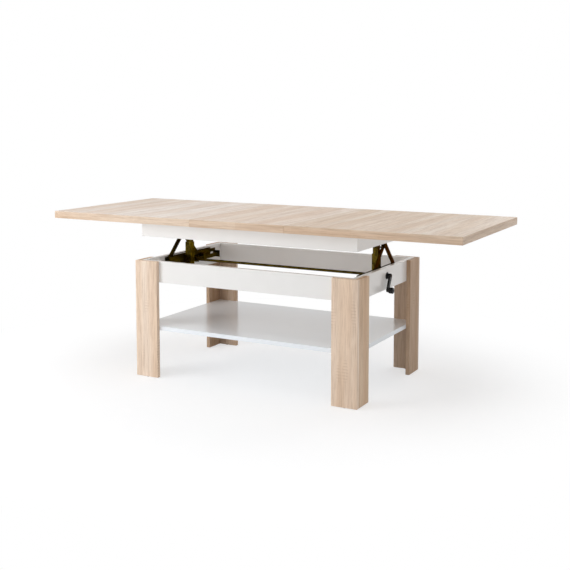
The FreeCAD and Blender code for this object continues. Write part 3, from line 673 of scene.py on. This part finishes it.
def join_surfaces(surfaces):
    """One set of points and quads from several."""
    starts = np.cumsum([0] + [len(points) for points, _ in surfaces[:-1]])
    points = np.concatenate([points for points, _ in surfaces])
    faces = np.concatenate([faces + start for (_, faces), start in zip(surfaces, starts)])
    return points, faces


def new_object(name, data):
    """Object for a mesh, a light or a camera, linked to the scene."""
    made = bpy.data.objects.new(name, data)
    bpy.context.scene.collection.objects.link(made)
    return made


def make_piece(name, surface, material, body, sharp=35.0, replaced=()):
    """Mesh object from points and quads: poles merged, faces outwards, riding on a body.

    Edges that bend by more than sharp, in degrees, stay sharp.
    """
    points, faces = surface
    mesh = bpy.data.meshes.new(name)
    mesh.from_pydata(points.tolist(), [], faces.tolist())
    shape = bmesh.new()
    shape.from_mesh(mesh)
    bmesh.ops.remove_doubles(shape, verts=shape.verts, dist=MERGE_GAP)
    bmesh.ops.dissolve_degenerate(shape, edges=shape.edges, dist=LEAST_EDGE)
    bmesh.ops.recalc_face_normals(shape, faces=shape.faces)
    shape.to_mesh(mesh)
    shape.free()
    mesh.shade_smooth()
    mesh.set_sharp_from_angle(angle=math.radians(sharp))
    mesh.materials.append(material)
    piece = new_object(name, mesh)
    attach(piece, body)
    if replaced:
        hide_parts(*replaced)


def steel():
    """The darker passivated steel, which most of the mechanism's solids already wear."""
    return bpy.data.materials["oiled_passivated_steel"]


def gloss_black():
    """The black of the crank, which its solids already wear."""
    return bpy.data.materials["gloss_black_moulding"]


# Lifting screws

# Toothed face of the gear, the land behind it, the step down to the hub, and the hub
GEAR_FACE = 5 * MM
GEAR_LAND = 0.4 * MM
GEAR_STEP = 0.6 * MM
HUB_RADIUS = 8 * MM
HUB_LEN = 6 * MM
TOOTH_DEPTH = 0.13
TOOTH_STEEPNESS = 1.6
STEPS_PER_TOOTH = 16

# Rod, its plain stretches before and after the thread, and its bevelled tip
ROD_RADIUS = 5 * MM
LEAD_IN = 6 * MM
TAIL = 9 * MM
TIP = 1 * MM
ROD_COLUMNS = 40
ROWS_PER_PITCH = 10

# Share of a pitch that a flank takes, and where the falling flank ends
THREAD_FLANK = 0.18
THREAD_END = 0.68

SCREW_SHARP = 30.0


def gear_profile(near, radius, teeth):
    """Radii and stations of the mitre gear with its hub, from the end near the shaft.

    Radius = cone * (1 - depth * tooth gap), where the gap is a squared-off cosine of the angle.
    """
    angle = np.linspace(0, 2 * np.pi, STEPS_PER_TOOTH * teeth, endpoint=False)
    gap = np.clip(0.5 + TOOTH_STEEPNESS * np.cos(teeth * angle), 0, 1)
    cone = np.array([0.0, radius - GEAR_FACE, radius, radius, HUB_RADIUS, HUB_RADIUS, ROD_RADIUS])
    toothed = np.array([0.0, 1.0, 1.0, 1.0, 0.0, 0.0, 0.0])
    end = GEAR_FACE + HUB_LEN
    stations = near + np.array([0, 0, GEAR_FACE, GEAR_FACE + GEAR_LAND, GEAR_FACE + GEAR_STEP, end, end])
    return cone[:, None] * (1 - TOOTH_DEPTH * toothed[:, None] * gap[None, :]), stations


def trapezoid(turn):
    """Thread section over one turn: ramp up, crest, ramp down, root."""
    turn = turn % 1.0
    return np.clip(np.minimum(turn / THREAD_FLANK, (THREAD_END - turn) / THREAD_FLANK), 0.0, 1.0)


def thread_profile(start, far, settings):
    """Radii and stations of the threaded rod, from the gear's hub to its tip.

    Radius = rod - depth * fade * (1 - trapezoid(station / pitch - angle / turn)).
    """
    first = start + LEAD_IN
    last = far - TAIL
    rows = int((last - first) / settings.pitch * ROWS_PER_PITCH)
    run = np.linspace(first, last, rows)
    turn = np.linspace(0, 1, ROD_COLUMNS, endpoint=False)
    fade = np.clip(np.minimum(run - first, last - run) / settings.pitch, 0, 1)
    crest = trapezoid(run[:, None] / settings.pitch - turn[None, :])
    thread = ROD_RADIUS - settings.depth * fade[:, None] * (1 - crest)
    plain = np.full((1, ROD_COLUMNS), ROD_RADIUS)
    tip = np.repeat([[ROD_RADIUS], [ROD_RADIUS - TIP], [0.0]], ROD_COLUMNS, axis=1)
    return np.concatenate([plain, thread, tip]), np.concatenate([[start], run, [far - TIP, far, far]])


def lifting_screw(side, settings):
    """Lifting screw with its mitre gear, lying along Y."""
    low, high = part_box("spindle_" + side)
    centre = (low + high) / 2
    near, far = sorted((abs(low.y), abs(high.y)))
    origin = (centre.x, 0.0, centre.z)
    axis = (0, -SIDES[side], 0)
    gear = lathe(*gear_profile(near, (high.x - low.x) / 2, settings.teeth), origin, axis)
    screw = lathe(*thread_profile(near + GEAR_FACE + HUB_LEN, far, settings), origin, axis)
    make_piece("lifting_screw_" + side, join_surfaces([gear, screw]), steel(),
               "screw_" + side, SCREW_SHARP, ["spindle_" + side])


# Rivet heads

RIVET_STEPS = 7
RIVET_COLUMNS = 28
RIM_SHARE = 0.35


def dome(radius, height, origin, axis):
    """Rivet head: a low dome on a short rim. Height = rim + crown * cos(90 degrees * r / radius)."""
    share = np.linspace(1, 0, RIVET_STEPS)[1:]
    rim = RIM_SHARE * height
    along = np.concatenate([[0, 0, rim], rim + (height - rim) * np.cos(share * np.pi / 2)])
    radii = np.concatenate([[0, radius, radius], radius * share])
    return lathe(*round_profile(np.stack([along, radii], 1), RIVET_COLUMNS), origin, axis)


def rivet_head(side, settings):
    """Domed rivet head on the upper arm's outer face, where the two arms meet at the top."""
    way = SIDES[side]
    low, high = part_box("upper_arm_" + side)
    pivot = next(row["pos_m"] for row in frame["joints"] if row["name"] == "arm_apex_" + side)
    outer = max(abs(low.x), abs(high.x)) * way
    head = dome(settings.rivet / 2, settings.crown, (outer, *pivot[1:]), (way, 0, 0))
    make_piece("apex_rivet_" + side, head, steel(), "arm_up_" + side)


# Crank

LEVER_EDGE = 1.6 * MM
LEVER_COLUMNS = 96
EDGE_STEPS = 5
PANEL_INSETS = (2.6 * MM, 3.0 * MM)
PANEL_DEPTH = 0.8 * MM
COLLAR_BEVEL = 0.8 * MM
COLLAR_COLUMNS = 64
GRIP_EDGE = 3.2 * MM
GRIP_ROWS = 40
FLUTE_FADE = 2 * MM
STEPS_PER_FLUTE = 12
CRANK_SHARP = 40.0


def axis_of(node):
    """Y and Z of a solid that lies along X."""
    low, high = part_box(node)
    return np.array(((low.y + high.y) / 2, (low.z + high.z) / 2))


def lever_outline(shaft, pin, hub_radius, end_radius):
    """Hull of two circles, one about the shaft and one about the pin, as centres, radii and normals.

    For a normal at an angle the point is centre + radius * (cos, sin), with the centre and the radius of
    the circle that reaches further along that normal.
    """
    angle = np.linspace(0, 2 * np.pi, LEVER_COLUMNS, endpoint=False)
    normal = np.stack([np.cos(angle), np.sin(angle)], 1)
    reach = np.linalg.norm(pin - shaft)
    at_end = normal @ ((pin - shaft) / reach) > (hub_radius - end_radius) / reach
    return np.where(at_end[:, None], pin, shaft), np.where(at_end, end_radius, hub_radius), normal


def crank_lever(settings):
    """Moulded crank lever with the collar at its hub.

    Each ring of the lever is its outline moved inwards by an inset, at a depth along X, so that the edges
    are quarter-rounds and the front has a sunk panel. The collar is a plain turned one.
    """
    low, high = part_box("crank_arm")
    shaft, pin = axis_of("drive_shaft"), axis_of("crank_knob")
    back, front = high.x - settings.lever, high.x
    hub_radius = settings.hub / 2
    centre, radius, normal = lever_outline(shaft, pin, hub_radius, settings.lever_width / 2)
    arc = np.linspace(0, np.pi / 2, EDGE_STEPS)
    by_sine, by_cosine = LEVER_EDGE * (1 - np.sin(arc)), LEVER_EDGE * (1 - np.cos(arc))
    inset = np.concatenate([by_sine, by_cosine, PANEL_INSETS])
    depth = np.concatenate([back + by_cosine, front - by_sine, [front, front - PANEL_DEPTH]])
    yz = centre[None] + (radius[None, :] - inset[:, None])[..., None] * normal[None]
    middle = np.broadcast_to((shaft + pin) / 2, (1,) + yz.shape[1:])
    yz = np.concatenate([middle, yz, middle])
    depth = np.concatenate([depth[:1], depth, depth[-1:]])
    x = np.broadcast_to(depth[:, None, None], yz.shape[:2] + (1,))
    lever = np.concatenate([x, yz], -1).reshape(-1, 3), grid_faces(*yz.shape[:2])
    end = back + LEVER_EDGE
    profile = [
        (low.x, 0),
        (low.x, hub_radius - COLLAR_BEVEL),
        (low.x + COLLAR_BEVEL, hub_radius),
        (end, hub_radius),
        (end, 0),
    ]
    collar = lathe(*round_profile(profile, COLLAR_COLUMNS), (0.0, *shaft), (1, 0, 0))
    make_piece("crank_lever", join_surfaces([lever, collar]), gloss_black(),
               "drive", CRANK_SHARP, ["crank_arm"])


def crank_grip(settings):
    """Fluted grip that turns on the crank's pin.

    Radius = full - taper * (1 - share along the grip) - corner - groove, where the corner is a quarter-round
    at both ends and the groove = flute depth * fade * (0.5 + 0.5 * cos(flutes * angle)) squared.
    """
    low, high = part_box("crank_knob")
    grip_len = high.x - low.x
    full = (high.y - low.y) / 2
    share = np.linspace(0, 1, GRIP_ROWS)
    run = share * grip_len
    ends = np.minimum(run, grip_len - run)
    short = np.clip(GRIP_EDGE - ends, 0, GRIP_EDGE)
    corner = GRIP_EDGE - np.sqrt(np.clip(GRIP_EDGE ** 2 - short ** 2, 0, None))
    body = full - settings.grip_taper * (1 - share) - corner
    fade = np.clip((ends - GRIP_EDGE) / FLUTE_FADE, 0, 1)
    angle = np.linspace(0, 2 * np.pi, STEPS_PER_FLUTE * settings.flutes, endpoint=False)
    groove = settings.flute_depth * fade[:, None] * (0.5 + 0.5 * np.cos(settings.flutes * angle)) ** 2
    pole = np.zeros((1, angle.size))
    radius = np.concatenate([pole, body[:, None] - groove, pole])
    stations = np.concatenate([[0], run, [grip_len]]) + low.x
    surface = lathe(radius, stations, (0.0, *axis_of("crank_knob")), (1, 0, 0))
    make_piece("crank_grip", surface, gloss_black(),
               "knob", CRANK_SHARP, ["crank_knob"])


# Stage

WHITE = (1.0, 1.0, 1.0)
SKY_TINT = (0.96, 0.98, 1.0)
SENSOR_WIDTH = 36

# Heights, as the Z of a direction, between which the light from low down turns into the light from above
SKY_BAND = (0.05, 0.35)

# Distances from the middle between which the floor turns to plain white, and its white near the table
FLOOR_SIZE = 40.0
FLOOR_FADE = (0.65, 1.5)
FLOOR_LIFT = 1.22

# Place and size of each light, in metres, and the point that all of them look at
LAMPS = {
    "key": ((-2.0, -2.4, 1.3), 1.7),
    "fill": ((3.4, 1.4, 1.8), 1.4),
    "over": ((0.0, -0.6, 3.4), 3.0),
    "behind": ((0.9, 3.6, 1.3), 2.4),
}
LAMP_TARGET = (0.0, 0.0, 0.35)


def seen_directly(tree):
    """1 where the camera sees the surface, straight, mirrored or through glass, and 0 otherwise."""
    path = add(tree, "ShaderNodeLightPath")
    glossy = math_node(tree, "MAXIMUM", path.outputs["Is Camera Ray"], path.outputs["Is Glossy Ray"])
    return math_node(tree, "MAXIMUM", glossy, path.outputs["Is Transmission Ray"])


def floor_material(settings):
    """Pale floor that keeps the table's shadow and turns to plain white further out."""
    material = bpy.data.materials.new("pale_floor")
    tree = fresh_tree(material)
    away = add(tree, "ShaderNodeVectorMath", {0: object_point(tree)}, operation="LENGTH").outputs["Value"]
    matt = add(tree, "ShaderNodeBsdfDiffuse", {"Color": with_alpha(settings.floor)})
    strength = spread(tree, away, *FLOOR_FADE, FLOOR_LIFT, 1.0)
    white = add(tree, "ShaderNodeEmission", {"Color": with_alpha(WHITE), "Strength": strength})
    glow = spread(tree, away, *FLOOR_FADE, settings.floor_glow, 1.0)
    share = scaled(tree, seen_directly(tree), glow)
    both = add(tree, "ShaderNodeMixShader", {0: share, 1: matt.outputs["BSDF"], 2: white.outputs["Emission"]})
    add(tree, "ShaderNodeOutputMaterial", {"Surface": both.outputs["Shader"]})
    return material


def stage_floor(settings):
    """Large plane at floor level."""
    half = FLOOR_SIZE / 2
    corners = np.array([(-half, -half, 0), (half, -half, 0), (half, half, 0), (-half, half, 0)])
    mesh = bpy.data.meshes.new("floor")
    mesh.from_pydata(corners.tolist(), [], [(0, 1, 2, 3)])
    mesh.materials.append(floor_material(settings))
    floor = new_object("floor", mesh)


def stage_world(settings):
    """White background for the camera and, for the rest, a light that is stronger low down than above."""
    world = bpy.data.worlds.new("studio")
    bpy.context.scene.world = world
    tree = fresh_tree(world)
    rise = separated(tree, add(tree, "ShaderNodeTexCoord").outputs["Generated"])["Z"]
    strength = spread(tree, rise, *SKY_BAND, settings.horizon, settings.sky)
    sky = add(tree, "ShaderNodeBackground", {"Color": with_alpha(SKY_TINT), "Strength": strength})
    white = add(tree, "ShaderNodeBackground", {"Color": with_alpha(WHITE), "Strength": 1.0})
    inputs = {0: seen_directly(tree), 1: sky.outputs["Background"], 2: white.outputs["Background"]}
    both = add(tree, "ShaderNodeMixShader", inputs)
    add(tree, "ShaderNodeOutputWorld", {"Surface": both.outputs["Shader"]})


def aim(thing, ahead):
    """Turns a light or the camera to look along a direction."""
    thing.rotation_mode = "QUATERNION"
    thing.rotation_quaternion = ahead.to_track_quat("-Z", "Y")


def area_light(name, place, size, energy):
    """Square soft light that looks at the table."""
    data = bpy.data.lights.new(name, "AREA")
    data.shape = "SQUARE"
    data.size = size
    data.energy = energy
    lamp = new_object(name, data)
    lamp.location = place
    aim(lamp, Vector(LAMP_TARGET) - Vector(place))


def stage_lights(settings):
    """Large key from the front left, weak fill from the right, soft lights overhead and low behind."""
    for name, (place, size) in LAMPS.items():
        area_light(name, place, size, getattr(settings, name))


def stage_camera(settings):
    """Camera at the height and turn of the studio picture, with a lens shift that sets the table higher."""
    data = bpy.data.cameras.new("camera")
    data.sensor_width = SENSOR_WIDTH
    data.lens = settings.lens
    data.shift_y = settings.rise
    camera = new_object("camera", data)
    camera.location = settings.eye
    ahead = Vector((
        -math.sin(settings.turn) * math.cos(settings.dip),
        math.cos(settings.turn) * math.cos(settings.dip),
        -math.sin(settings.dip),
    ))
    aim(camera, ahead)
    bpy.context.scene.camera = camera


# Operators


class TABLE_OT_oak(bpy.types.Operator):
    """Oak-look laminate on the top and the legs, each board with its own print"""

    bl_idname = "lift_table.oak"
    bl_label = "Oak boards"

    def execute(self, context):
        settings = context.scene.table_oak
        # Painted sheen on the top's left half and the centre leaf
        painted_sheens = {"top_half_left": settings.painted_sheen_left, "centre_leaf": settings.painted_sheen_leaf}
        for seed, name in enumerate(OAK_TOP_NODES, start=TOP_FIRST_SEED):
            dress([name], oak_top_material("oak_" + name, seed, settings, painted_sheens.get(name)))
        for seed, name in enumerate(LEG_NODES, start=LEG_FIRST_SEED):
            dress([name], oak_leg_material("oak_" + name, seed, settings))
        return {"FINISHED"}


class TABLE_OT_white(bpy.types.Operator):
    """White melamine on rails, apron and shelf"""

    bl_idname = "lift_table.white"
    bl_label = "White boards"

    def execute(self, context):
        white = context.scene.table_white
        boards = white_material("white_melamine", white.face, white.shade, white.gloss)
        # Painted cool light: the shelf wears a bluer copy of the same melamine
        shelf = white_material("cool_white_melamine", white.shelf, white.shelf, white.shelf_gloss)
        dress(nodes_in_slot("white_laminate"), boards)
        dress(["shelf"], shelf)
        return {"FINISHED"}


class TABLE_OT_metal(bpy.types.Operator):
    """Passivated steel on the lift, zinc on the fasteners and beech on the hidden woodwork"""

    bl_idname = "lift_table.metal"
    bl_label = "Lift, fasteners and runners"

    def execute(self, context):
        settings = context.scene.table_steel
        oiled = passivated_material("oiled_passivated_steel", settings, depth=settings.film)
        yellow = passivated_material("yellow_passivated_steel", settings, depth=0.0)
        columns = [name for name in frame["nodes"] if name.startswith(("column_", "guide_collars"))]
        dress(nodes_in_slot("passivated_steel"), oiled)
        dress(columns, yellow)
        dress(nodes_in_slot("zinc_steel"), zinc_material())
        dress(nodes_in_slot("beech"), beech_material())
        return {"FINISHED"}


class TABLE_OT_plastic(bpy.types.Operator):
    """Black plastic on the crank, bushes and glides"""

    bl_idname = "lift_table.plastic"
    bl_label = "Black mouldings"

    def execute(self, context):
        settings = context.scene.table_plastic
        crank = black_material("gloss_black_moulding", tuple(settings.crank), CRANK_GLOSS, CRANK_GRAIN)
        nylon = black_material("matt_black_nylon", tuple(settings.nylon), NYLON_GLOSS, NYLON_GRAIN)
        dress(nodes_in_slot("black_gloss_plastic") + ["crank_pin"], crank)
        dress(nodes_in_slot("black_plastic"), nylon)
        return {"FINISHED"}


class TABLE_OT_screws(bpy.types.Operator):
    """Threaded lifting screws with toothed gears"""

    bl_idname = "lift_table.screws"
    bl_label = "Lifting screws"

    def execute(self, context):
        for side in SIDES:
            lifting_screw(side, context.scene.table_screw)
        return {"FINISHED"}


class TABLE_OT_rivets(bpy.types.Operator):
    """Domed rivet heads on the arms"""

    bl_idname = "lift_table.rivets"
    bl_label = "Rivet heads"

    def execute(self, context):
        for side in SIDES:
            rivet_head(side, context.scene.table_rivet)
        return {"FINISHED"}


class TABLE_OT_crank(bpy.types.Operator):
    """Moulded crank lever and its turning grip"""

    bl_idname = "lift_table.crank"
    bl_label = "Crank"

    def execute(self, context):
        crank_lever(context.scene.table_crank)
        crank_grip(context.scene.table_crank)
        return {"FINISHED"}


class TABLE_OT_stage(bpy.types.Operator):
    """Pale floor, soft studio light and the camera"""

    bl_idname = "lift_table.stage"
    bl_label = "Stage"

    def execute(self, context):
        settings = context.scene.table_stage
        stage_floor(settings)
        stage_world(settings)
        stage_lights(settings)
        stage_camera(settings)
        context.scene.view_settings.view_transform = "Standard"
        return {"FINISHED"}


# Panel and registration

OPERATORS = (
    TABLE_OT_oak,
    TABLE_OT_white,
    TABLE_OT_metal,
    TABLE_OT_plastic,
    TABLE_OT_screws,
    TABLE_OT_rivets,
    TABLE_OT_crank,
    TABLE_OT_stage,
)
SETTINGS = {
    "table_oak": OakSettings,
    "table_white": WhiteSettings,
    "table_steel": SteelSettings,
    "table_plastic": PlasticSettings,
    "table_screw": ScrewSettings,
    "table_crank": CrankSettings,
    "table_rivet": RivetSettings,
    "table_stage": StageSettings,
}


class TABLE_PT_panel(bpy.types.Panel):
    """Finishes, pieces and stage of the table"""

    bl_idname = "TABLE_PT_panel"
    bl_label = "Lift Coffee Table"
    bl_space_type = "VIEW_3D"
    bl_region_type = "UI"
    bl_category = "Table"

    def draw(self, context):
        for operator in OPERATORS:
            self.layout.operator(operator.bl_idname)
        for name, group in SETTINGS.items():
            box = self.layout.box()
            box.label(text=group.__doc__)
            for key in group.__annotations__:
                box.prop(getattr(context.scene, name), key)


def register():
    for group in SETTINGS.values():
        bpy.utils.register_class(group)
    for name, group in SETTINGS.items():
        setattr(bpy.types.Scene, name, bpy.props.PointerProperty(type=group))
    for operator in OPERATORS:
        bpy.utils.register_class(operator)
    bpy.utils.register_class(TABLE_PT_panel)


def unregister():
    bpy.utils.unregister_class(TABLE_PT_panel)
    for operator in reversed(OPERATORS):
        bpy.utils.unregister_class(operator)
    for name, group in SETTINGS.items():
        delattr(bpy.types.Scene, name)
        bpy.utils.unregister_class(group)


def main():
    register()
    bpy.ops.lift_table.oak()
    bpy.ops.lift_table.white()
    bpy.ops.lift_table.metal()
    bpy.ops.lift_table.plastic()
    bpy.ops.lift_table.screws()
    bpy.ops.lift_table.rivets()
    bpy.ops.lift_table.crank()
    bpy.ops.lift_table.stage()


if __name__ == "__main__":
    main()
